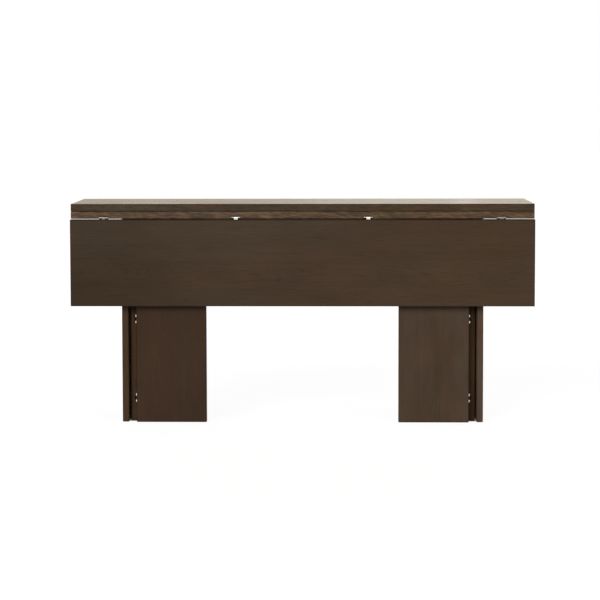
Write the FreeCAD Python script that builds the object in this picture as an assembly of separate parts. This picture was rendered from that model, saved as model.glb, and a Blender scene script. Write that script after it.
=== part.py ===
"""Folding console table: three hinged top boards on two three-board folding legs.

Millimetres. +X runs along the table, +Y to its back, +Z up. The origin is on the floor, under the
middle of the folded table. The table is modelled folded: the front leaf hangs, the flip leaf lies on
the fixed top, the front gates stand across the front and the rear gates lie along the legs' outer sides.
"""
import FreeCAD
import Part
import os
from math import sqrt

Vec = FreeCAD.Vector

# Overall sizes
table_width = 1600.0
table_height = 762.0

# Top boards
top_depth = 310.0
board_thickness = 25.4
drop_leaf_length = 300.0
board_arris = 1.2
pad_gap = 0.6
drop_gap = 1.4
flip_gap = 1.0
drop_axis_inset = 2.4

# Leg boards
leg_thickness = 22.0
leg_overhang = 173.0
leg_panel_depth = 270.0
front_gate_width = 243.5
rear_gate_setback = 17.0
rear_fold_gap = 5.0
gate_end_gap = 1.0
gate_back_gap = 1.0
gate_leaf_gap = 3.2
gate_head_gap = 2.0
leg_arris = 1.0

# Back rail
rail_thickness = 17.0
rail_height = 90.0
rail_sweep_gap = 1.5

# Places of the hinges
top_hinge_end_inset = 114.2
top_hinge_count = 4
gate_hinge_inset_bottom = 82.0
gate_hinge_inset_top = 75.0
front_axis_into_panel = 2.0
front_axis_behind_edge = 3.0
rear_axis_gap = 0.5

# Hinge sizes that the two sizes of hinge share
hinge_seam = 0.3
hinge_bridge = 3.0
hinge_screw_radius = 1.5
hinge_screw_reach = 8.0
hinge_screw_head_radius = 1.9
hinge_screw_head_height = 1.6
notch_end_gap = 0.5
running_gap = 0.05

# Drop-leaf hinge
drop_hinge_length = 30.0
drop_hinge_end_knuckle = 8.0
drop_hinge_knuckle_radius = 5.0
drop_hinge_notch_radius = 7.0
drop_hinge_pin_radius = 2.0
drop_hinge_arm = 5.0
drop_hinge_depth = 17.0

# Gate and flip-leaf hinge
gate_hinge_length = 29.0
gate_hinge_end_knuckle = 7.6
gate_hinge_knuckle_radius = 3.5
gate_hinge_notch_radius = 6.0
gate_hinge_pin_radius = 1.5
gate_hinge_arm = 4.0
gate_hinge_depth = 14.0

# Leg bolts, barrel nuts, dowels and plugs
bolt_radius = 3.0
bolt_head_radius = 5.0
bolt_head_height = 6.0
bolt_reach = 42.0
plug_radius = 7.0
plug_thickness = 5.0
nut_radius = 5.0
nut_length = 16.0
nut_drop = 32.0
bolt_place_shares = (0.25, 0.75)
dowel_radius = 4.0
dowel_length = 36.0
leg_dowel_place_shares = (0.12, 0.5)

# Rail screws and dowels
rail_screw_radius = 3.5
rail_screw_length = 50.0
rail_screw_head_radius = 5.0
rail_screw_head_height = 4.0
rail_screw_height_shares = (0.52, 0.88)
rail_dowel_height_share = 0.70
rail_dowel_length = 30.0

# Rail brackets
bracket_leg = 30.0
bracket_width = 20.0
bracket_thickness = 2.0
bracket_pitch = 250.0
bracket_screw_radius = 1.8
bracket_screw_reach = 13.0
bracket_screw_head_radius = 3.4
bracket_screw_head_height = 1.6
bracket_screw_place_share = 0.6

# Glides, bumpers and pads
glide_radius = 9.0
glide_height = 3.0
glide_stand = 1.0
glide_stem_radius = 1.5
glide_stem_length = 12.0
glide_inset = 26.0
bumper_radius = 5.0
bumper_play = 0.2
bumper_height_shares = (0.62, 0.92)
bumper_place_share = 0.5
pad_radius = 8.0
pad_play = 0.05
pad_inset = 36.0

# Levels
leg_bottom = glide_stand
top_underside = table_height - 2 * board_thickness - pad_gap
top_surface = top_underside + board_thickness
flip_underside = top_surface + pad_gap
gate_head = top_underside - gate_head_gap
drop_leaf_head = top_underside - drop_gap
drop_leaf_foot = drop_leaf_head - drop_leaf_length
rail_bottom = top_underside - rail_height

# Depths, from the front face of the hanging leaf to the back of the flip hinges
leaf_overlap = 2 * drop_axis_inset
leaf_stand_out = board_thickness - leaf_overlap
hinge_stand_out = flip_gap / 2 + gate_hinge_knuckle_radius
overall_depth = leaf_stand_out + top_depth + hinge_stand_out
leaf_front = -overall_depth / 2
leaf_back = leaf_front + board_thickness
top_front = leaf_front + leaf_stand_out
top_back = top_front + top_depth
gate_front = leaf_back + gate_leaf_gap
gate_back = gate_front + leg_thickness
panel_front = gate_back + gate_back_gap
panel_back = panel_front + leg_panel_depth
rear_gate_front = panel_front - rear_gate_setback

# Places along the table, as distances from its middle
half_width = table_width / 2
leg_outer_half_span = half_width - leg_overhang
rear_gate_inner = leg_outer_half_span - leg_thickness
panel_outer = rear_gate_inner - rear_fold_gap
panel_inner = panel_outer - leg_thickness
panel_middle = (panel_outer + panel_inner) / 2
gate_outer_end = panel_inner - gate_end_gap
gate_inner_end = gate_outer_end - front_gate_width

# Hinge axes
drop_axis = (top_front + drop_axis_inset, top_underside + drop_axis_inset)
flip_axis = (top_back + flip_gap / 2, top_surface + pad_gap / 2)
front_axis = (panel_inner + front_axis_into_panel, panel_front + front_axis_behind_edge)
rear_axis = (panel_outer + rear_fold_gap / 2, panel_back + rear_axis_gap)
top_hinge_end = half_width - top_hinge_end_inset
top_hinge_pitch = 2 * top_hinge_end / (top_hinge_count - 1)
top_hinge_places = [top_hinge_pitch * step - top_hinge_end for step in range(top_hinge_count)]
gate_hinge_low = gate_hinge_inset_bottom
gate_hinge_high = top_underside - gate_hinge_inset_top
gate_hinge_heights = (gate_hinge_low, (gate_hinge_low + gate_hinge_high) / 2, gate_hinge_high)

# The back rail stands just behind the path of a front gate's free corner as it folds in
gate_sweep = sqrt((front_axis[0] - gate_inner_end) ** 2 + (front_axis[1] - gate_front) ** 2)
rail_front = front_axis[1] + gate_sweep + rail_sweep_gap
rail_back = rail_front + rail_thickness
rail_middle = (rail_front + rail_back) / 2

left, right = -1, 1
sides = {"left": left, "right": right}
along_x, along_y, along_z = Vec(1, 0, 0), Vec(0, 1, 0), Vec(0, 0, 1)


def block(x_span, y_span, z_span):
    """A plain box between two x, two y and two z values."""
    (x0, x1), (y0, y1), (z0, z1) = (sorted(span) for span in (x_span, y_span, z_span))
    return Part.makeBox(x1 - x0, y1 - y0, z1 - z0, Vec(x0, y0, z0))


def board(x_span, y_span, z_span, arris):
    """A board with its edges eased."""
    plain = block(x_span, y_span, z_span)
    return plain.makeFillet(arris, plain.Edges)


def rod(start, direction, radius, length):
    """A round rod from a point along a direction."""
    return Part.makeCylinder(radius, length, start, direction)


def joined(pieces):
    """Several touching pieces made into one solid."""
    whole = pieces[0].fuse(pieces[1:]) if len(pieces) > 1 else pieces[0]
    return whole.removeSplitter()


def span_about(middle, width):
    """Two values, half the width either side of the middle."""
    return (middle - width / 2, middle + width / 2)


class Hinge:
    """A concealed hinge: a two-arm half and a one-arm half on one pin, let into two corners.

    The fixed and moving ways are the directions, across the axis, that the arms run into the boards.
    """

    def __init__(self, origin, axis, fixed_way, moving_way, small):
        self.length = gate_hinge_length if small else drop_hinge_length
        self.end_knuckle = gate_hinge_end_knuckle if small else drop_hinge_end_knuckle
        self.knuckle_radius = gate_hinge_knuckle_radius if small else drop_hinge_knuckle_radius
        self.notch_radius = gate_hinge_notch_radius if small else drop_hinge_notch_radius
        self.pin_radius = gate_hinge_pin_radius if small else drop_hinge_pin_radius
        self.arm = gate_hinge_arm if small else drop_hinge_arm
        self.depth = gate_hinge_depth if small else drop_hinge_depth
        self.fixed_place = self.placement(origin, axis, fixed_way)
        self.moving_place = self.placement(origin, axis, moving_way)

    def placement(self, origin, axis, way):
        """The frame of one half: its x runs into the board and its z along the pin."""
        across = axis.cross(way)
        return FreeCAD.Placement(origin, FreeCAD.Rotation(way, across, axis, "ZXY"))

    def half_length(self):
        return self.length / 2

    def arm_width(self):
        return (-self.arm / 2, self.arm / 2)

    def half(self, knuckle_spans, place):
        """Knuckles on their arms, tied by a bridge at the bottom of the slot."""
        end = self.half_length()
        pieces = [block((self.depth - hinge_bridge, self.depth), self.arm_width(), (-end, end))]
        for low, high in knuckle_spans:
            pieces.append(rod(Vec(0, 0, low), along_z, self.knuckle_radius, high - low))
            pieces.append(block((0, self.depth), self.arm_width(), (low, high)))
        bore = rod(Vec(0, 0, -end), along_z, self.pin_radius + running_gap, self.length)
        holes = [self.screw_hole(height) for height in self.screw_heights(knuckle_spans)]
        solid = joined(pieces).cut([bore] + holes)
        solid.Placement = place
        return solid

    def fixed_spans(self):
        end = self.half_length()
        return [(-end, -end + self.end_knuckle), (end - self.end_knuckle, end)]

    def moving_spans(self):
        reach = self.half_length() - self.end_knuckle - hinge_seam
        return [(-reach, reach)]

    def screw_heights(self, knuckle_spans):
        """One screw between two arms, or one either side of a single arm."""
        if len(knuckle_spans) > 1:
            return [0]
        place = self.half_length() - self.end_knuckle / 2
        return [-place, place]

    def screw_hole(self, height):
        start = Vec(self.depth - hinge_bridge, 0, height)
        return rod(start, along_x, hinge_screw_radius, hinge_bridge + hinge_screw_reach)

    def screws(self, knuckle_spans, place):
        made = []
        for height in self.screw_heights(knuckle_spans):
            start = Vec(self.depth - hinge_bridge - hinge_screw_head_height, 0, height)
            head = rod(start, along_x, hinge_screw_head_radius, hinge_screw_head_height)
            screw = joined([head, self.screw_hole(height)])
            screw.Placement = place
            made.append(screw)
        return made

    def cutter(self, knuckle_spans, place):
        """What is cut from a board for one half: a notch round the pin, a slot and screw holes."""
        end = self.half_length()
        notch_length = self.length + 2 * notch_end_gap
        notch = rod(Vec(0, 0, -notch_length / 2), along_z, self.notch_radius, notch_length)
        slot = block((0, self.depth), self.arm_width(), (-end, end))
        cuts = [notch, slot] + [self.screw_hole(height) for height in self.screw_heights(knuckle_spans)]
        for cut in cuts:
            cut.Placement = place.multiply(cut.Placement)
        return cuts

    def fixed_half(self):
        return self.half(self.fixed_spans(), self.fixed_place)

    def moving_half(self):
        return self.half(self.moving_spans(), self.moving_place)

    def pin(self):
        solid = rod(Vec(0, 0, -self.half_length()), along_z, self.pin_radius, self.length)
        solid.Placement = self.fixed_place.multiply(solid.Placement)
        return solid

    def fixed_screws(self):
        return self.screws(self.fixed_spans(), self.fixed_place)

    def moving_screws(self):
        return self.screws(self.moving_spans(), self.moving_place)

    def fixed_cut(self):
        return self.cutter(self.fixed_spans(), self.fixed_place)

    def moving_cut(self):
        return self.cutter(self.moving_spans(), self.moving_place)


def way(x, y, z):
    """A unit direction."""
    return Vec(x, y, z).normalize()


def top_hinges(axis, fixed_way, moving_way, small):
    return [Hinge(Vec(x, axis[0], axis[1]), along_x, fixed_way, moving_way, small) for x in top_hinge_places]


def gate_hinges(side, axis, fixed_way, moving_way):
    return [Hinge(Vec(side * axis[0], axis[1], z), along_z, fixed_way, moving_way, True)
            for z in gate_hinge_heights]


drop_hinges = top_hinges(drop_axis, way(0, 1, 1), way(0, -1, -1), False)
flip_hinges = top_hinges(flip_axis, way(0, -1, -1), way(0, -1, 1), True)
front_hinges = {name: gate_hinges(side, front_axis, way(side, 1, 0), way(-side, -1, 0))
                for name, side in sides.items()}
rear_hinges = {name: gate_hinges(side, rear_axis, way(-side, -1, 0), way(side, -1, 0))
               for name, side in sides.items()}


def fixed_cuts(hinges):
    return [cut for hinge in hinges for cut in hinge.fixed_cut()]


def moving_cuts(hinges):
    return [cut for hinge in hinges for cut in hinge.moving_cut()]


# Places that the boards and their fasteners share
bolt_places = [panel_front + share * leg_panel_depth for share in bolt_place_shares]
leg_dowel_places = [panel_front + share * leg_panel_depth for share in leg_dowel_place_shares]
rail_screw_heights = [rail_bottom + share * rail_height for share in rail_screw_height_shares]
rail_dowel_height = rail_bottom + rail_dowel_height_share * rail_height
bracket_places = (-bracket_pitch, 0, bracket_pitch)
bracket_screw_place = bracket_leg * bracket_screw_place_share


def leg_bolts():
    """Bolts down through the fixed top into barrel nuts in the leg panels."""
    made = []
    seat = top_surface - plug_thickness - bolt_head_height
    for side in sides.values():
        for y in bolt_places:
            head = rod(Vec(side * panel_middle, y, seat), along_z, bolt_head_radius, bolt_head_height)
            foot = Vec(side * panel_middle, y, top_underside - bolt_reach)
            shank = rod(foot, along_z, bolt_radius, seat - foot.z)
            made.append(joined([head, shank]))
    return made


def bolt_plugs():
    """Wooden plugs that cover the bolt heads."""
    return [rod(Vec(side * panel_middle, y, top_surface - plug_thickness), along_z, plug_radius, plug_thickness)
            for side in sides.values() for y in bolt_places]


def barrel_nut(side, y):
    start = Vec(side * panel_middle - nut_length / 2, y, top_underside - nut_drop)
    return rod(start, along_x, nut_radius, nut_length)


def leg_barrel_nuts():
    """Round nuts that lie across the leg panels."""
    made = []
    for side in sides.values():
        for y in bolt_places:
            foot = Vec(side * panel_middle, y, top_underside - bolt_reach)
            made.append(barrel_nut(side, y).cut(rod(foot, along_z, bolt_radius, bolt_reach)))
    return made


def leg_dowels():
    return [rod(Vec(side * panel_middle, y, top_underside - dowel_length / 2), along_z, dowel_radius, dowel_length)
            for side in sides.values() for y in leg_dowel_places]


def bolt_holes(side):
    """Everything drilled for one leg's bolts, nuts, plugs and dowels, in the top and the leg alike."""
    holes = []
    seat = top_surface - plug_thickness - bolt_head_height
    for y in bolt_places:
        foot = Vec(side * panel_middle, y, top_underside - bolt_reach)
        holes.append(rod(foot, along_z, bolt_radius, seat - foot.z))
        holes.append(rod(Vec(side * panel_middle, y, seat), along_z, plug_radius, top_surface - seat))
        mouth = Vec(side * panel_inner, y, top_underside - nut_drop)
        bore_length = panel_middle + nut_length / 2 - panel_inner
        holes.append(rod(mouth, along_x * side, nut_radius, bore_length))
    for y in leg_dowel_places:
        start = Vec(side * panel_middle, y, top_underside - dowel_length / 2)
        holes.append(rod(start, along_z, dowel_radius, dowel_length))
    return holes


def rail_screw(side, z):
    """A screw through a leg panel into the end of the rail, its head flush with the panel."""
    inward = along_x * -side
    face = Vec(side * panel_outer, rail_middle, z)
    head = Part.makeCone(rail_screw_head_radius, rail_screw_radius, rail_screw_head_height, face, inward)
    shank_start = face + inward * rail_screw_head_height
    return joined([head, rod(shank_start, inward, rail_screw_radius, rail_screw_length - rail_screw_head_height)])


def rail_dowel(side):
    start = Vec(side * panel_inner - rail_dowel_length / 2, rail_middle, rail_dowel_height)
    return rod(start, along_x, dowel_radius, rail_dowel_length)


def rail_screws():
    return [rail_screw(side, z) for side in sides.values() for z in rail_screw_heights]


def rail_dowels():
    return [rail_dowel(side) for side in sides.values()]


def bracket_screw_pair(x):
    """A screw back into the rail and a screw up into the top, through one bracket."""
    made = []
    for face, direction in (
        (Vec(x, rail_front - bracket_thickness, top_underside - bracket_screw_place), along_y),
        (Vec(x, rail_front - bracket_screw_place, top_underside - bracket_thickness), along_z),
    ):
        head_start = face - direction * bracket_screw_head_height
        head = rod(head_start, direction, bracket_screw_head_radius, bracket_screw_head_height)
        shank = rod(face, direction, bracket_screw_radius, bracket_thickness + bracket_screw_reach)
        made.append(joined([head, shank]))
    return made


def bracket_screws():
    return [screw for x in bracket_places for screw in bracket_screw_pair(x)]


def rail_brackets():
    """Steel angles that tie the rail to the underside of the top."""
    made = []
    for x in bracket_places:
        upright = block(span_about(x, bracket_width), (rail_front - bracket_thickness, rail_front),
                        (top_underside - bracket_leg, top_underside))
        flat = block(span_about(x, bracket_width), (rail_front - bracket_leg, rail_front),
                     (top_underside - bracket_thickness, top_underside))
        made.append(joined([upright, flat]).cut(bracket_screw_pair(x)))
    return made


def glides(x_places, y_places):
    """Nylon glides let into the foot of a leg board, each with a stem driven up into it."""
    made = []
    for x in x_places:
        for y in y_places:
            disc = rod(Vec(x, y, 0), along_z, glide_radius, glide_height)
            stem = rod(Vec(x, y, 0), along_z, glide_stem_radius, glide_height + glide_stem_length)
            made.append(joined([disc, stem]))
    return made


def leg_glides(side):
    return glides([side * panel_middle], [panel_front + glide_inset, panel_back - glide_inset])


def front_gate_glides(side):
    places = [side * (gate_outer_end - glide_inset), side * (gate_inner_end + glide_inset)]
    return glides(places, [(gate_front + gate_back) / 2])


def rear_gate_glides(side):
    middle = (leg_outer_half_span + rear_gate_inner) / 2
    return glides([side * middle], [rear_gate_front + glide_inset, panel_back - glide_inset])


def gate_bumpers(side):
    """Rubber bumpers on a front gate, which the hanging leaf rests against."""
    x = side * (gate_outer_end - front_gate_width * bumper_place_share)
    length = gate_leaf_gap - bumper_play
    return [rod(Vec(x, gate_front, gate_head * share), along_y * -1, bumper_radius, length)
            for share in bumper_height_shares]


def leaf_pads():
    """Thin felt pads on the fixed top, under the folded flip leaf."""
    return [rod(Vec(x, y, top_surface), along_z, pad_radius, pad_gap - pad_play)
            for x in (pad_inset - half_width, 0, half_width - pad_inset)
            for y in (top_front + pad_inset, top_back - pad_inset)]


def fixed_top():
    solid = board((-half_width, half_width), (top_front, top_back), (top_underside, top_surface), board_arris)
    cuts = fixed_cuts(drop_hinges) + fixed_cuts(flip_hinges) + bracket_screws()
    for side in sides.values():
        cuts += bolt_holes(side)
    return solid.cut(cuts)


def flip_leaf():
    solid = board((-half_width, half_width), (top_front, top_back), (flip_underside, table_height), board_arris)
    return solid.cut(moving_cuts(flip_hinges))


def drop_leaf():
    solid = board((-half_width, half_width), (leaf_front, leaf_back), (drop_leaf_foot, drop_leaf_head), board_arris)
    return solid.cut(moving_cuts(drop_hinges))


def leg_panel(name):
    side = sides[name]
    solid = board((side * panel_inner, side * panel_outer), (panel_front, panel_back),
                  (leg_bottom, top_underside), leg_arris)
    cuts = fixed_cuts(front_hinges[name]) + fixed_cuts(rear_hinges[name]) + bolt_holes(side)
    cuts += [rail_screw(side, z) for z in rail_screw_heights] + [rail_dowel(side)]
    return solid.cut(cuts + leg_glides(side))


def back_rail():
    solid = board((-panel_inner, panel_inner), (rail_front, rail_back), (rail_bottom, top_underside), leg_arris)
    return solid.cut(rail_screws() + rail_dowels() + bracket_screws())


def front_gate(name):
    side = sides[name]
    solid = board((side * gate_inner_end, side * gate_outer_end), (gate_front, gate_back),
                  (leg_bottom, gate_head), leg_arris)
    return solid.cut(moving_cuts(front_hinges[name]) + front_gate_glides(side))


def rear_gate(name):
    side = sides[name]
    solid = board((side * rear_gate_inner, side * leg_outer_half_span), (rear_gate_front, panel_back),
                  (leg_bottom, gate_head), leg_arris)
    return solid.cut(moving_cuts(rear_hinges[name]) + rear_gate_glides(side))


def hinge_nodes(prefix, hinges, fixed_name, moving_name):
    """The nodes of one set of hinges: halves, pins and screws."""
    return {
        prefix + "_hinge_" + fixed_name + "_halves": [hinge.fixed_half() for hinge in hinges],
        prefix + "_hinge_" + moving_name + "_halves": [hinge.moving_half() for hinge in hinges],
        prefix + "_hinge_pins": [hinge.pin() for hinge in hinges],
        prefix + "_hinge_" + fixed_name + "_screws": [screw for hinge in hinges for screw in hinge.fixed_screws()],
        prefix + "_hinge_" + moving_name + "_screws": [screw for hinge in hinges for screw in hinge.moving_screws()],
    }


def all_nodes():
    nodes = {
        "fixed_top": [fixed_top()],
        "flip_leaf": [flip_leaf()],
        "drop_leaf": [drop_leaf()],
        "back_rail": [back_rail()],
        "leg_bolts": leg_bolts(),
        "leg_barrel_nuts": leg_barrel_nuts(),
        "leg_dowels": leg_dowels(),
        "bolt_plugs": bolt_plugs(),
        "rail_screws": rail_screws(),
        "rail_dowels": rail_dowels(),
        "rail_brackets": rail_brackets(),
        "bracket_screws": bracket_screws(),
        "leaf_pads": leaf_pads(),
        "leg_glides": leg_glides(left) + leg_glides(right),
    }
    nodes.update(hinge_nodes("drop", drop_hinges, "top", "leaf"))
    nodes.update(hinge_nodes("flip", flip_hinges, "top", "leaf"))
    for name, side in sides.items():
        nodes["leg_panel_" + name] = [leg_panel(name)]
        nodes["front_gate_" + name] = [front_gate(name)]
        nodes["rear_gate_" + name] = [rear_gate(name)]
        nodes["front_gate_" + name + "_glides"] = front_gate_glides(side)
        nodes["rear_gate_" + name + "_glides"] = rear_gate_glides(side)
        nodes["front_gate_" + name + "_bumpers"] = gate_bumpers(side)
        nodes.update(hinge_nodes("front_gate_" + name, front_hinges[name], "panel", "gate"))
        nodes.update(hinge_nodes("rear_gate_" + name, rear_hinges[name], "panel", "gate"))
    return nodes


def write_nodes():
    os.makedirs("parts", exist_ok=True)
    for name, solids in all_nodes().items():
        shape = Part.makeCompound([solid for piece in solids for solid in piece.Solids])
        shape.exportStep(os.path.join("parts", name + ".step"))
        print(name, len(shape.Solids), "solids", round(shape.Volume), "mm3", "valid" if shape.isValid() else "INVALID")


write_nodes()
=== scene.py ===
"""Looks of the folding console table: dark stained oak boards on small nickel-plated hinges."""
from math import pi, radians

import bpy
from mathutils import Matrix, Vector


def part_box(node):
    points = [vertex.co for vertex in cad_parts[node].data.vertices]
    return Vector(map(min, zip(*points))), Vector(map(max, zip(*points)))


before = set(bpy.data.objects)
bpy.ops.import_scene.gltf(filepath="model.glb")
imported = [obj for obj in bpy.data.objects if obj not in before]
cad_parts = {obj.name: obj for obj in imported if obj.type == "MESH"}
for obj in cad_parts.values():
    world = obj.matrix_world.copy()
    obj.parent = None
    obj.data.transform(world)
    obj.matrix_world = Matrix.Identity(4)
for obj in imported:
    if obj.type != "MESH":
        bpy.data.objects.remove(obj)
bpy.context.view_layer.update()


# Leg panels
# Each leg stands on one fixed board, set on edge with its grain upright and bolted up to the top.
# It is oak veneer on a board core, stained dark brown, with a thin satin lacquer over the stain.
# The waves are counted to the metre, along the grain and across it.
oak_dark = (0.0330, 0.0200, 0.0114)
oak_light = (0.0660, 0.0410, 0.0245)
oak_red = (1.075, 0.962, 0.870)
oak_grey = (0.940, 1.038, 1.070)
oak_pore = (0.46, 0.42, 0.38)
oak_end_grain = (0.55, 0.52, 0.50)
# Painted shade for the arrises, standing in for the shadow lines along the board edges.
painted_arris_shade = (0.25, 0.23, 0.22)
rift_cut = (0.19, 0.12)
ring_width = 0.0042
ring_ripple = 0.006
ripple_waves = (9.0, 40.0)
pith_tilt = 0.045
pith_sway = 0.060
sway_waves = (1.3, 5.0)
cloud_waves = (3.0, 9.0)
mottle_waves = (9.0, 24.0)
streak_waves = (1.8, 70.0)
dash_waves = (9.0, 190.0)
fleck_waves = (28.0, 210.0)
pore_waves = (26.0, 1000.0)
hue_waves = (5.0, 14.0, 14.0)
hue_place = (3.7, 1.9, 4.1)
usual_noise = (0.3, 0.7)
high_noise = (0.60, 0.74)
low_noise = (0.40, 0.28)
pore_noise = (0.54, 0.68)
stain_range = (0.08, 0.92)
pore_stain = 0.75
late_wood_pores = 0.35
end_grain_stain = 0.35
arris_reach = 0.0036
arris_shade_strength = (0.35, 0.85)
arris_shade_waves = (14.0, 60.0)
satin = 0.40
cloud_dulling = 0.06
pore_dulling = 0.16
pore_depth = 0.0004
oak_relief = 0.30
oak_gloss = 0.11
panel_gloss = 0.03
oak_bloom = 0.05
bloom_spread = 0.35
bloom_tint = (1.0, 0.70, 0.30)


class Finish:
    """One finish as it is mixed: the nodes of a material or a world, with a short way to add each kind."""

    def __init__(self, name, kind=bpy.data.materials):
        self.owner = kind.new(name)
        self.owner.use_nodes = True
        self.tree = self.owner.node_tree
        self.surface = next(node for node in self.tree.nodes if node.outputs)

    def put(self, node, sockets):
        """Links or sets a node's sockets, and fills out a plain colour with its fourth value."""
        for name, value in sockets.items():
            socket = node.inputs[name]
            if isinstance(value, bpy.types.NodeSocket):
                self.tree.links.new(value, socket)
            elif socket.type == "RGBA":
                socket.default_value = (*value, 1.0)
            else:
                socket.default_value = value

    def node(self, kind, sockets, **settings):
        node = self.tree.nodes.new("ShaderNode" + kind)
        for name, setting in settings.items():
            setattr(node, name, setting)
        self.put(node, sockets)
        return node.outputs

    def coat(self, **sockets):
        """Sets the surface's own sockets, named with underscores for spaces."""
        self.put(self.surface, {name.replace("_", " "): value for name, value in sockets.items()})

    def place(self, kind="Object"):
        return self.node("TexCoord", {})[kind]

    def math(self, operation, *values):
        return self.node("Math", dict(enumerate(values)), operation=operation)[0]

    def vector(self, operation, *values):
        outputs = self.node("VectorMath", dict(enumerate(values)), operation=operation)
        return outputs["Value" if operation == "LENGTH" else "Vector"]

    def parts(self, place):
        return list(self.node("SeparateXYZ", {0: place}))

    def point(self, x, y, z):
        return self.node("CombineXYZ", {0: x, 1: y, 2: z})[0]

    def noise(self, place, waves, detail=2.0, roughness=0.5):
        """Noise between 0 and 1, with so many waves to the metre along each way."""
        sockets = {"Vector": self.vector("MULTIPLY", place, waves), "Scale": 1.0,
                   "Detail": detail, "Roughness": roughness}
        return self.node("TexNoise", sockets)["Fac"]

    def between(self, value, low, high, first=0.0, last=1.0):
        """Goes smoothly from first to last as the value goes from low to high."""
        sockets = {"Value": value, "From Min": low, "From Max": high, "To Min": first, "To Max": last}
        return self.node("MapRange", sockets, interpolation_type="SMOOTHSTEP")["Result"]

    def weigh(self, *patterns):
        """Adds up patterns round one half, each given with its usual value and its weight."""
        total = 0.5 - sum(usual * weight for pattern, usual, weight in patterns)
        for pattern, usual, weight in patterns:
            total = self.math("MULTIPLY_ADD", pattern, weight, total)
        return total

    def mix(self, share, first, second, blend="MIX"):
        return self.node("Mix", {0: share, 6: first, 7: second}, data_type="RGBA", blend_type=blend)[2]

    def bump(self, height, depth, strength):
        return self.node("Bump", {"Height": height, "Distance": depth, "Strength": strength})["Normal"]


def dress(node, finish):
    """Gives a piece its finish in place of the plain colour it came with."""
    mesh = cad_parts[node].data
    mesh.materials.clear()
    mesh.materials.append(finish.owner)


def scaled(colour, shares):
    return tuple(value * share for value, share in zip(colour, shares))


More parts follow.
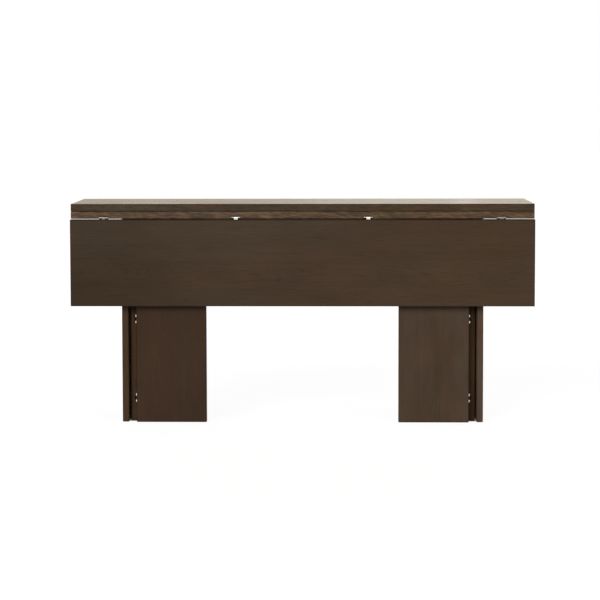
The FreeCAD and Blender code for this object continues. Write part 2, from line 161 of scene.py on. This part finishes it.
class Oak(Finish):
    """Dark stained oak for one board, cut at its own place in the log, with the grain along X or Z."""

    def __init__(self, board, grain, log_place, cut):
        super().__init__("dark_oak_" + board)
        self.board = board
        low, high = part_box(board)
        self.half = (high - low) / 2
        self.from_middle = self.parts(self.vector("SUBTRACT", self.place(), (low + high) / 2))
        self.to_faces = [self.math("SUBTRACT", reach, self.math("ABSOLUTE", way))
                         for reach, way in zip(self.half, self.from_middle)]
        self.grain_way = "XYZ".index(grain)
        across_way, through_way = sorted({0, 1, 2} - {self.grain_way}, key=lambda way: -self.half[way])
        self.log_ways = [self.from_middle[way] for way in (self.grain_way, across_way, through_way)]
        self.log = self.vector("ADD", self.point(*self.log_ways), log_place)
        self.early_wood = self.between(self.rings(log_place, cut), 0.0, 0.55, 1.0, 0.0)

    def fibres(self, waves, detail=2.0, roughness=0.5):
        """Noise drawn out along the grain, with so many waves to the metre along and across it."""
        along, across = waves
        return self.noise(self.log, (along, across, across), detail, roughness)

    def rings(self, log_place, cut):
        """Growth rings round a pith that sways and leans away from the board, each from 0 to 1."""
        along, across, through = self.log_ways
        aside = self.math("ADD", across, cut[0] + log_place[1])
        depth = self.math("MULTIPLY_ADD", along, pith_tilt, cut[1] + log_place[2] - pith_sway / 2)
        depth = self.math("ADD", depth, through)
        depth = self.math("MULTIPLY_ADD", self.fibres(sway_waves), pith_sway, depth)
        radius = self.vector("LENGTH", self.point(0.0, aside, depth))
        radius = self.math("MULTIPLY_ADD", self.fibres(ripple_waves, 3.0), ring_ripple, radius)
        return self.math("FRACT", self.math("DIVIDE", radius, ring_width))

    def stain(self, tone, clouding=1.0, streaking=1.0):
        """Stains the wood: slow clouds and mottling, streaks and dashes along the grain, and dark pores."""
        self.clouds = self.fibres(cloud_waves, 3.0)
        self.streaks = self.fibres(streak_waves, 3.0, 0.55)
        dashes = self.fibres(dash_waves, 1.0)
        flecks = self.between(self.fibres(fleck_waves), *high_noise)
        pore_share = self.between(self.early_wood, 0.0, 1.0, late_wood_pores, 1.0)
        self.pores = self.math("MULTIPLY", self.between(self.fibres(pore_waves), *pore_noise), pore_share)
        lightness = self.weigh((self.clouds, 0.5, 1.05 * clouding),
                               (self.fibres(mottle_waves), 0.5, 0.35 * clouding),
                               (self.streaks, 0.5, 0.27 * streaking),
                               (self.between(dashes, *high_noise), 0.1, -0.10 * streaking),
                               (self.between(dashes, *low_noise), 0.1, 0.08 * streaking),
                               (flecks, 0.1, 0.05 * streaking),
                               (self.early_wood, 0.3, -0.05 * streaking))
        lightness = self.between(lightness, *stain_range)
        self.colour = self.mix(lightness, scaled(oak_dark, tone), scaled(oak_light, tone))
        hue = self.noise(self.vector("ADD", self.log, hue_place), hue_waves, 3.0)
        redness = self.between(hue, *usual_noise, 0.5 - clouding / 2, 0.5 + clouding / 2)
        self.dye(1.0, self.mix(redness, oak_grey, oak_red))
        self.dye(self.math("MULTIPLY", self.pores, pore_stain), oak_pore)

    def dye(self, share, shade):
        self.colour = self.mix(share, self.colour, shade, "MULTIPLY")

    def lacquer(self, gloss=oak_gloss, polish=satin, bloom=oak_bloom, relief=oak_relief):
        """Lays the lacquer on, over end grain that drank more stain, with painted shade along the arrises.
        """
        facing = self.math("ABSOLUTE", self.parts(self.place("Normal"))[self.grain_way])
        self.dye(self.between(facing, 0.6, 0.9, 0.0, end_grain_stain), oak_end_grain)
        first, second, third = self.to_faces
        nearest = self.math("MINIMUM", first, second)
        other = self.math("MINIMUM", self.math("MAXIMUM", first, second), third)
        to_arris = self.math("MAXIMUM", nearest, other)
        # Painted shade darkens the arrises, where shadow lines fall along the edges, broken up by noise.
        at_arris = self.between(to_arris, 0.0, arris_reach, 1.0, 0.0)
        arris_shade_breakup = self.between(self.fibres(arris_shade_waves, 3.0), 0.30, 0.60, *arris_shade_strength)
        self.dye(self.math("MULTIPLY", at_arris, arris_shade_breakup), painted_arris_shade)
        rough = self.math("ADD", self.between(self.clouds, *usual_noise, 0.0, cloud_dulling), polish)
        rough = self.math("MULTIPLY_ADD", self.pores, pore_dulling, rough)
        height = self.weigh((self.streaks, 0.5, 0.25), (self.pores, 0.0, -1.0))
        self.coat(Base_Color=self.colour, Roughness=rough, Specular_IOR_Level=gloss,
                  Sheen_Weight=bloom, Sheen_Roughness=bloom_spread, Sheen_Tint=bloom_tint,
                  Normal=self.bump(height, pore_depth, relief))
        dress(self.board, self)


for board, log_place, tone in (("leg_panel_left", (0.4, 0.11, 0.02), (1.10, 1.06, 1.02)),
                               ("leg_panel_right", (2.9, 0.05, 0.07), (0.90, 0.82, 0.73))):
    oak = Oak(board, "Z", log_place, rift_cut)
    oak.stain(tone)
    oak.lacquer(gloss=panel_gloss)


# Back rail
# A narrow oak board on edge joins the two leg panels under the back of the top.
# Dowels and long screws hold its ends, and it is stained and lacquered like the legs.
oak = Oak("back_rail", "X", (5.3, 0.02, 0.03), rift_cut)
oak.stain(tone=(0.9, 0.9, 0.9))
oak.lacquer()


# Dowels
# Round beech pegs, left bare, line up the legs with the top and the rail with the legs.
# They are glued in and hidden once the table is together.
beech_pale = (0.62, 0.44, 0.27)
beech_tan = (0.48, 0.31, 0.17)
beech_fleck = (0.34, 0.19, 0.09)
beech_fibre_waves = (160.0, 160.0, 30.0)
beech_fleck_waves = (700.0, 700.0, 150.0)
beech_fleck_share = 0.5
beech_polish = (0.55, 0.70)

beech = Finish("bare_beech")
place = beech.place()
fibres = beech.noise(place, beech_fibre_waves, 3.0)
flecks = beech.between(beech.noise(place, beech_fleck_waves), 0.58, 0.70, 0.0, beech_fleck_share)
beech.coat(Base_Color=beech.mix(flecks, beech.mix(fibres, beech_tan, beech_pale), beech_fleck),
           Roughness=beech.between(fibres, *usual_noise, *beech_polish),
           Normal=beech.bump(fibres, 0.0003, 0.4))
for node in ("leg_dowels", "rail_dowels"):
    dress(node, beech)


# Bolts, barrel nuts, screws and brackets
# Zinc-plated steel fittings hold the legs to the top, and the rail to the legs and the top.
# They are plated after forming, so the zinc is dull with a faint spangle and thin scratches.
zinc_pale = (0.62, 0.63, 0.64)
zinc_dull = (0.40, 0.40, 0.41)
zinc_polish = (0.30, 0.44)
spangle_waves = (260.0, 260.0, 260.0)
scratch_waves = (90.0, 2600.0, 2600.0)
scratch_dulling = 0.12

zinc = Finish("zinc_plate")
place = zinc.place()
spangle = zinc.noise(place, spangle_waves)
scratches = zinc.noise(place, scratch_waves)
rough = zinc.math("MULTIPLY_ADD", zinc.between(scratches, 0.55, 0.75), scratch_dulling,
                  zinc.between(spangle, *usual_noise, *zinc_polish))
zinc.coat(Base_Color=zinc.mix(zinc.between(spangle, 0.35, 0.65), zinc_dull, zinc_pale),
          Metallic=1.0, Roughness=rough, Normal=zinc.bump(scratches, 0.0001, 0.3))
for node in ("leg_bolts", "leg_barrel_nuts", "rail_screws", "rail_brackets", "bracket_screws"):
    dress(node, zinc)


# Fixed top
# The lower of the two top boards is bolted down on the legs, with the grain along the table. Solid oak
# lippings cover its edges, paler than the faces, with a livelier, slanting figure. Painted light tints
# them from a cool grey at the left end to a warm brown at the right. Turned oak plugs cover the bolt heads.
crown_cut = (0.0, 0.085)
lipping_depth = 0.004
lipping_fade = 1.05
lipping_dark = (0.66, 0.69, 0.73)
lipping_pale = (1.66, 1.64, 1.62)
lipping_range = (0.10, 1.15)
lipping_pink = (1.05, 0.96, 0.98)
lipping_gold = (0.99, 1.02, 0.90)
lipping_hue_waves = (7.0, 30.0)
# Painted light on the lippings: cool at the left end, warm at the right.
lipping_left_painted_cool_light = (1.01, 1.07, 1.11)
lipping_right_painted_warm_light = (0.97, 0.95, 0.88)
figure_waves = (9.0, 80.0)
stroke_waves = (24.0, 210.0, 210.0)
stroke_slant = 0.12
stroke_weight = 1.2
line_waves = (12.0, 620.0)
line_weight = 1.1


def lip_edges(oak, tone, liveliness):
    """Covers the board's edges with solid lippings, figured with slanting strokes and fine lines.
    Painted light tints them from cool at the left end to warm at the right.
    """
    along, across, through = oak.parts(oak.log)
    aslant = [oak.math("MULTIPLY_ADD", along, stroke_slant, way) for way in (across, through)]
    strokes = oak.noise(oak.point(along, *aslant), stroke_waves, 2.0, 0.6)
    lightness = oak.weigh((oak.fibres(figure_waves, 3.0, 0.6), 0.5, liveliness),
                          (strokes, 0.5, stroke_weight * liveliness),
                          (oak.fibres(line_waves, 3.0, 0.6), 0.5, line_weight))
    figure = oak.mix(oak.between(lightness, *lipping_range),
                     scaled(lipping_dark, tone), scaled(lipping_pale, tone))
    hue = oak.between(oak.fibres(lipping_hue_waves), 0.35, 0.65)
    # Painted light: cooler towards the left end and warmer towards the right.
    painted_light_left_to_right = oak.between(oak.from_middle[0], -oak.half.x, oak.half.x)
    for share, first, second in ((hue, lipping_gold, lipping_pink),
                                 (painted_light_left_to_right, lipping_left_painted_cool_light, lipping_right_painted_warm_light)):
        figure = oak.mix(1.0, figure, oak.mix(share, first, second), "MULTIPLY")
    to_edge = oak.math("MINIMUM", *oak.to_faces[:2])
    oak.dye(oak.between(to_edge, lipping_depth, lipping_depth * lipping_fade, 1.0, 0.0), figure)


oak = Oak("fixed_top", "X", (17.1, 0.03, 0.06), crown_cut)
oak.stain(tone=(1.0, 1.0, 1.0), clouding=0.5)
lip_edges(oak, tone=(1.88, 1.99, 2.11), liveliness=1.7)
oak.lacquer()

oak = Oak("bolt_plugs", "X", (1.7, 0.09, 0.01), crown_cut)
oak.stain(tone=(1.2, 1.2, 1.2))
oak.lacquer()


# Leaf pads
# Thin discs of pressed brown felt are stuck to the fixed top, for the folded leaf to lie on.
# They are punched from a sheet, so their fibres show as a matt, uneven nap.
felt_brown = (0.070, 0.052, 0.040)
felt_worn = (0.110, 0.085, 0.068)
nap_waves = (900.0, 900.0, 900.0)

felt = Finish("pressed_felt")
nap = felt.noise(felt.place(), nap_waves, 4.0, 0.7)
felt.coat(Base_Color=felt.mix(felt.between(nap, 0.35, 0.70), felt_brown, felt_worn), Roughness=0.95,
          Sheen_Weight=0.4, Sheen_Roughness=0.6, Normal=felt.bump(nap, 0.0005, 0.8))
dress("leaf_pads", felt)


# Flip leaf
# The upper top board lies face to face on the fixed top and turns over to the back.
# Its upper face is the console's top, so there the lacquer is rubbed the smoothest.
rubbed = 0.27
rubbed_bloom = 0.22
rubbed_relief = 0.15

oak = Oak("flip_leaf", "X", (11.2, 0.06, 0.015), crown_cut)
oak.stain(tone=(1.10, 1.16, 1.17), clouding=0.6)
lip_edges(oak, tone=(0.98, 1.02, 1.08), liveliness=0.7)
oak.lacquer(polish=oak.between(oak.from_middle[2], 0.0, oak.half.z, satin, rubbed),
            bloom=rubbed_bloom, relief=rubbed_relief)


# Drop leaf
# The third long board hangs in front of the top on four hinges and swings up level with it. Its upper
# edge, which then meets the fixed top, is glossy and painted nearly black as shade. Painted shade darkens
# the lower left corner, and painted light runs from a cool grey reflection to warm shade along the upper
# half.
# Painted shade and light for the upper edge, the lower left corner and the upper half.
painted_ledge_shade = (0.16, 0.10, 0.06)
ledge_polish = 0.10
ledge_shade_depth = 0.0030
shade_wander = 0.4
corner_painted_shade = (0.74, 0.71, 0.66)
corner_along = (-0.12, -0.40)
corner_down = (0.12, -0.13)
corner_least = 0.40
side_painted_reflection = (1.06, 1.13, 1.22)
side_painted_warm_shade = (0.90, 0.88, 0.85)
side_along = (0.80, -0.05)
side_up = (-0.05, 0.13)

oak = Oak("drop_leaf", "X", (9.1, 0.04, 0.02), crown_cut)
oak.stain(tone=(1.02, 1.03, 1.03), clouding=0.35, streaking=0.75)
along = oak.math("MULTIPLY_ADD", oak.clouds, shade_wander, oak.from_middle[0])
up = oak.from_middle[2]
# Painted shade: darker towards the lower left corner.
shaded_corner = oak.math("MULTIPLY", oak.between(along, *corner_along),
                  oak.between(up, *corner_down, corner_least, 1.0))
oak.dye(shaded_corner, corner_painted_shade)
# Painted light: a cool grey reflection on the upper left, and warm shade on the upper right.
oak.dye(oak.between(up, *side_up), oak.mix(oak.between(along, *side_along), side_painted_warm_shade, side_painted_reflection))
to_upper_edge = oak.math("SUBTRACT", oak.half.z, up)
# Painted shade: the upper edge is nearly black where the shadow line falls, and glossier.
shaded_glossy_ledge = oak.between(to_upper_edge, ledge_shade_depth / 2, ledge_shade_depth, 1.0, 0.0)
oak.dye(shaded_glossy_ledge, painted_ledge_shade)
oak.lacquer(polish=oak.between(shaded_glossy_ledge, 0.0, 1.0, satin, ledge_polish))


# Front gates
# A leg board stands across the front of each leg and folds in flat against its panel.
# It is veneered like the panels, with upright grain, and hangs on three hinges.
for board, log_place, tone in (("front_gate_left", (1.2, 0.02, 0.05), (0.80, 0.70, 0.65)),
                               ("front_gate_right", (4.6, 0.07, 0.02), (1.11, 1.17, 1.28))):
    oak = Oak(board, "Z", log_place, rift_cut)
    oak.stain(tone, clouding=0.6, streaking=0.75)
    oak.lacquer()


# Rear gates
# A leg board lies folded along the outer side of each leg, and swings out behind it
# to carry the flip leaf. It is made and hung like the front gates.
for board, log_place, tone in (("rear_gate_left", (7.5, 0.03, 0.04), (1.14, 1.07, 0.93)),
                               ("rear_gate_right", (9.1, 0.05, 0.03), (1.46, 1.46, 1.70))):
    oak = Oak(board, "Z", log_place, rift_cut)
    oak.stain(tone, clouding=0.6)
    oak.lacquer()


# Hinges
# Small stamped brass hinges are let into the corners of the boards with zinc-plated screws. The half with
# two knuckles and the half with one turn on a pin. They are plated, one half bright nickel and one black.
# As painted shade, the drop hinges' top halves are dim grey, and black below the knuckle line near the
# middle; the drop hinges and the flip hinges' leaf halves are brown near the table's ends.
nickel_bright = (0.95, 0.90, 0.83)
nickel_dull = (0.84, 0.79, 0.72)
# The black plate, also used as painted shade below the knuckles.
black_plate_and_painted_shade = (0.016, 0.014, 0.012)
black_plate_and_painted_shade_pale = (0.045, 0.040, 0.035)
# Painted shade: dim grey nickel, and brown for the hinges near the ends.
nickel_painted_dim = (0.46, 0.41, 0.36)
nickel_painted_dim_pale = (0.60, 0.54, 0.48)
nickel_painted_shade = (0.18, 0.155, 0.13)
nickel_painted_shade_pale = (0.30, 0.26, 0.22)
nickel_polish = (0.32, 0.44)
haze_waves = (220.0, 220.0, 220.0)
brushing_waves = (1500.0, 4000.0, 4000.0)
outer_hinges_from = 0.45
knuckle_level = 0.7147
knuckle_fade = 0.001


class Nickel(Finish):
    """Nickel plate with a faint haze and fine brushing."""

    def __init__(self, name, deep, pale):
        super().__init__(name)
        self.where = self.place()
        self.haze = self.between(self.noise(self.where, haze_waves, 3.0), *usual_noise)
        self.colour = self.mix(self.haze, deep, pale)
        brushing = self.noise(self.where, brushing_waves)
        self.coat(Base_Color=self.colour, Metallic=1.0,
                  Roughness=self.between(self.haze, 0.0, 1.0, *nickel_polish),
                  Normal=self.bump(brushing, 0.0001, 0.2))

    def paint_shade(self, share, deep, pale):
        """Paints shade on the plate: a darker pair of colours over a share of it."""
        self.colour = self.mix(share, self.colour, self.mix(self.haze, deep, pale))
        self.coat(Base_Color=self.colour)

    def outer(self):
        """1 on the hinges near the table's ends, and 0 on those near its middle."""
        aside = self.math("ABSOLUTE", self.parts(self.where)[0])
        return self.math("GREATER_THAN", aside, outer_hinges_from)


bright_nickel = Nickel("bright_nickel", nickel_dull, nickel_bright)
black_nickel = Nickel("black_nickel", black_plate_and_painted_shade, black_plate_and_painted_shade_pale)
leaf_nickel = Nickel("leaf_nickel", nickel_dull, nickel_bright)
# Painted shade: the hinges near the table's ends are brown.
leaf_nickel.paint_shade(leaf_nickel.outer(), nickel_painted_shade, nickel_painted_shade_pale)
# Painted shade: the drop hinges' top halves are dim grey nickel.
shaded_knuckle_nickel = Nickel("shaded_knuckle_nickel", nickel_painted_dim, nickel_painted_dim_pale)
outer = shaded_knuckle_nickel.outer()
inner = shaded_knuckle_nickel.math("SUBTRACT", 1.0, outer)
height = shaded_knuckle_nickel.parts(shaded_knuckle_nickel.where)[2]
# Painted shade: black below the knuckle line on the hinges near the middle.
painted_shade_below_knuckle = shaded_knuckle_nickel.between(height, knuckle_level - knuckle_fade, knuckle_level + knuckle_fade,
                                       1.0, 0.0)
inner_painted_shade = shaded_knuckle_nickel.math("MULTIPLY", painted_shade_below_knuckle, inner)
shaded_knuckle_nickel.paint_shade(outer, nickel_painted_shade, nickel_painted_shade_pale)
shaded_knuckle_nickel.paint_shade(inner_painted_shade, black_plate_and_painted_shade, black_plate_and_painted_shade_pale)

gates = [kind + "_gate_" + side for kind in ("front", "rear") for side in ("left", "right")]
hinges = {"drop": ("top", shaded_knuckle_nickel, "leaf", leaf_nickel),
          "flip": ("top", black_nickel, "leaf", leaf_nickel)}
hinges.update({gate: ("panel", bright_nickel, "gate", black_nickel) for gate in gates})
for hinge, (still, still_plate, moving, moving_plate) in hinges.items():
    dress(hinge + "_hinge_" + still + "_halves", still_plate)
    dress(hinge + "_hinge_" + moving + "_halves", moving_plate)
    dress(hinge + "_hinge_pins", bright_nickel)
    for half in (still, moving):
        dress(hinge + "_hinge_" + half + "_screws", zinc)


# Glides and bumpers
# Dark nylon glides stand under every leg board, each on a stem driven up into the foot.
# Soft black rubber bumpers on the front gates meet the hanging leaf.
nylon_dark = (0.042, 0.036, 0.031)
nylon_scuffed = (0.085, 0.078, 0.070)
nylon_polish = 0.45
rubber_black = (0.018, 0.018, 0.018)
rubber_dusty = (0.045, 0.044, 0.042)
rubber_polish = 0.65
skin_waves = (1400.0, 1400.0, 1400.0)
scuff_waves = (120.0, 120.0, 60.0)
scuff_share = 0.6
scuff_dulling = 0.15


def moulded(name, clean, scuffed, polish):
    """A moulded plastic or rubber with a fine matt skin and some scuffing."""
    finish = Finish(name)
    place = finish.place()
    skin = finish.noise(place, skin_waves)
    scuffs = finish.between(finish.noise(place, scuff_waves, 4.0, 0.65), 0.50, 0.72)
    finish.coat(Base_Color=finish.mix(finish.math("MULTIPLY", scuffs, scuff_share), clean, scuffed),
                Roughness=finish.between(scuffs, 0.0, 1.0, polish, polish + scuff_dulling),
                Normal=finish.bump(skin, 0.0001, 0.3))
    return finish


nylon = moulded("moulded_nylon", nylon_dark, nylon_scuffed, nylon_polish)
rubber = moulded("soft_rubber", rubber_black, rubber_dusty, rubber_polish)
dress("leg_glides", nylon)
for gate in gates:
    dress(gate + "_glides", nylon)
    if gate.startswith("front"):
        dress(gate + "_bumpers", rubber)


# Floor and backdrop
# A seamless white studio: a floor that keeps a faint shadow, with shade painted into its glow in narrow
# gaps, running out into a white surround. From below the floor is clear, so the underside can be seen.
floor_reach = 30.0
floor_pale = (0.45, 0.45, 0.45)
floor_in_view = (0.09, 0.09, 0.09)
floor_near_white = 0.93
white_from = 1.4
white_by = 3.5
# Painted shade in narrow gaps under and between the boards.
crevice_reach = 0.05
crevice_shade_openness = 0.35
surround_white = (1.0, 1.0, 1.0)
surround_light = 0.10


def seen_straight(finish):
    """1 for what the camera sees, directly or in a gloss or through glass, and 0 for light on surfaces."""
    path = finish.node("LightPath", {})
    seen = finish.math("MAXIMUM", path["Is Camera Ray"], path["Is Glossy Ray"])
    return finish.math("MAXIMUM", seen, path["Is Transmission Ray"])


paper = Finish("studio_floor")
geometry = paper.node("NewGeometry", {})
away = paper.vector("LENGTH", geometry["Position"])
# Painted shade: the floor's glow is cut where ambient occlusion finds a narrow gap.
openness = paper.node("AmbientOcclusion", {"Distance": crevice_reach})["AO"]
glow_and_painted_crevice_shade = paper.math("MULTIPLY", paper.between(away, white_from, white_by, floor_near_white, 1.0),
                  paper.math("MINIMUM", paper.math("DIVIDE", openness, crevice_shade_openness), 1.0))
seen = seen_straight(paper)
paper.coat(Base_Color=paper.mix(seen, floor_pale, floor_in_view), Roughness=1.0, Specular_IOR_Level=0.0,
           Emission_Color=surround_white, Emission_Strength=paper.math("MULTIPLY", glow_and_painted_crevice_shade, seen),
           Alpha=paper.math("SUBTRACT", 1.0, geometry["Backfacing"]))

corners = [(x * floor_reach, y * floor_reach, 0.0) for x, y in ((-1, -1), (1, -1), (1, 1), (-1, 1))]
floor_mesh = bpy.data.meshes.new("studio_floor")
floor_mesh.from_pydata(corners, [], [(0, 1, 2, 3)])
floor_mesh.materials.append(paper.owner)
floor = bpy.data.objects.new("studio_floor", floor_mesh)
bpy.context.scene.collection.objects.link(floor)

surround = Finish("white_surround", bpy.data.worlds)
surround_glow = surround.between(seen_straight(surround), 0.0, 1.0, surround_light, 1.0)
surround.coat(Color=surround_white, Strength=surround_glow)
bpy.context.scene.world = surround.owner


# Lamps
# A broad key light falls from the front left and a warmer soft box stands at the front right,
# so little light goes straight into the gaps. Weaker soft boxes light the back and the ends,
# and two faint strip lights behind the table put soft gleams on its top.
key_elevation = radians(28)
key_from_left = radians(30)
key_spread = radians(28)
key_strength = 2.30
lamp_aim = Vector((0.0, 0.0, 0.42))
lamp_white = (1.0, 1.0, 1.0)
lamp_warm = (1.0, 0.88, 0.75)
lamp_cool = (0.84, 0.95, 1.0)

key_data = bpy.data.lights.new("key_light", "SUN")
key_data.energy = key_strength
key_data.angle = key_spread
key = bpy.data.objects.new("key_light", key_data)
key.rotation_euler = (pi / 2 - key_elevation, 0.0, -key_from_left)
bpy.context.scene.collection.objects.link(key)

for name, place, size, watts, colour in (
        ("front_right_box", (3.2, -3.0, 2.1), (1.8, 1.8), 76.0, lamp_warm),
        ("back_right_box", (1.3, 3.6, 2.9), (3.0, 2.0), 46.0, lamp_white),
        ("back_left_box", (-2.8, 3.4, 2.6), (2.0, 2.0), 48.0, lamp_cool),
        ("left_strip", (-0.96, 3.6, 1.05), (0.30, 0.50), 0.11, lamp_cool),
        ("right_strip", (0.875, 3.6, 1.05), (0.11, 0.50), 0.15, lamp_white),
        ("left_box", (-3.8, 0.4, 2.2), (2.0, 2.0), 25.0, lamp_white),
        ("right_box", (3.8, 0.4, 2.2), (2.0, 2.0), 30.0, lamp_white)):
    data = bpy.data.lights.new(name, "AREA")
    data.shape = "RECTANGLE"
    data.size, data.size_y = size
    data.energy = watts
    data.color = colour
    lamp = bpy.data.objects.new(name, data)
    lamp.location = place
    lamp.rotation_euler = (lamp_aim - Vector(place)).to_track_quat("-Z", "Y").to_euler()
    lamp.visible_camera = False
    bpy.context.scene.collection.objects.link(lamp)


# Camera
# It stands 5.7 m in front of the table, above its top and a little right of its middle,
# and looks slightly down with a long lens, shifted down to keep the legs upright.
camera_place = (0.1012, -5.699, 1.1076)
camera_pitch = radians(-3.438)
camera_yaw = radians(1.116)
camera_roll = radians(-0.113)
camera_lens = 96.88
camera_shift = -0.1660

camera_data = bpy.data.cameras.new("front_camera")
camera_data.lens = camera_lens
camera_data.shift_y = camera_shift
camera = bpy.data.objects.new("front_camera", camera_data)
camera.location = camera_place
turn = Matrix.Rotation(camera_yaw, 3, "Z") @ Matrix.Rotation(pi / 2 + camera_pitch, 3, "X")
camera.rotation_euler = (turn @ Matrix.Rotation(camera_roll, 3, "Z")).to_euler()
bpy.context.scene.collection.objects.link(camera)
bpy.context.scene.camera = camera
bpy.context.scene.view_settings.view_transform = "Standard"
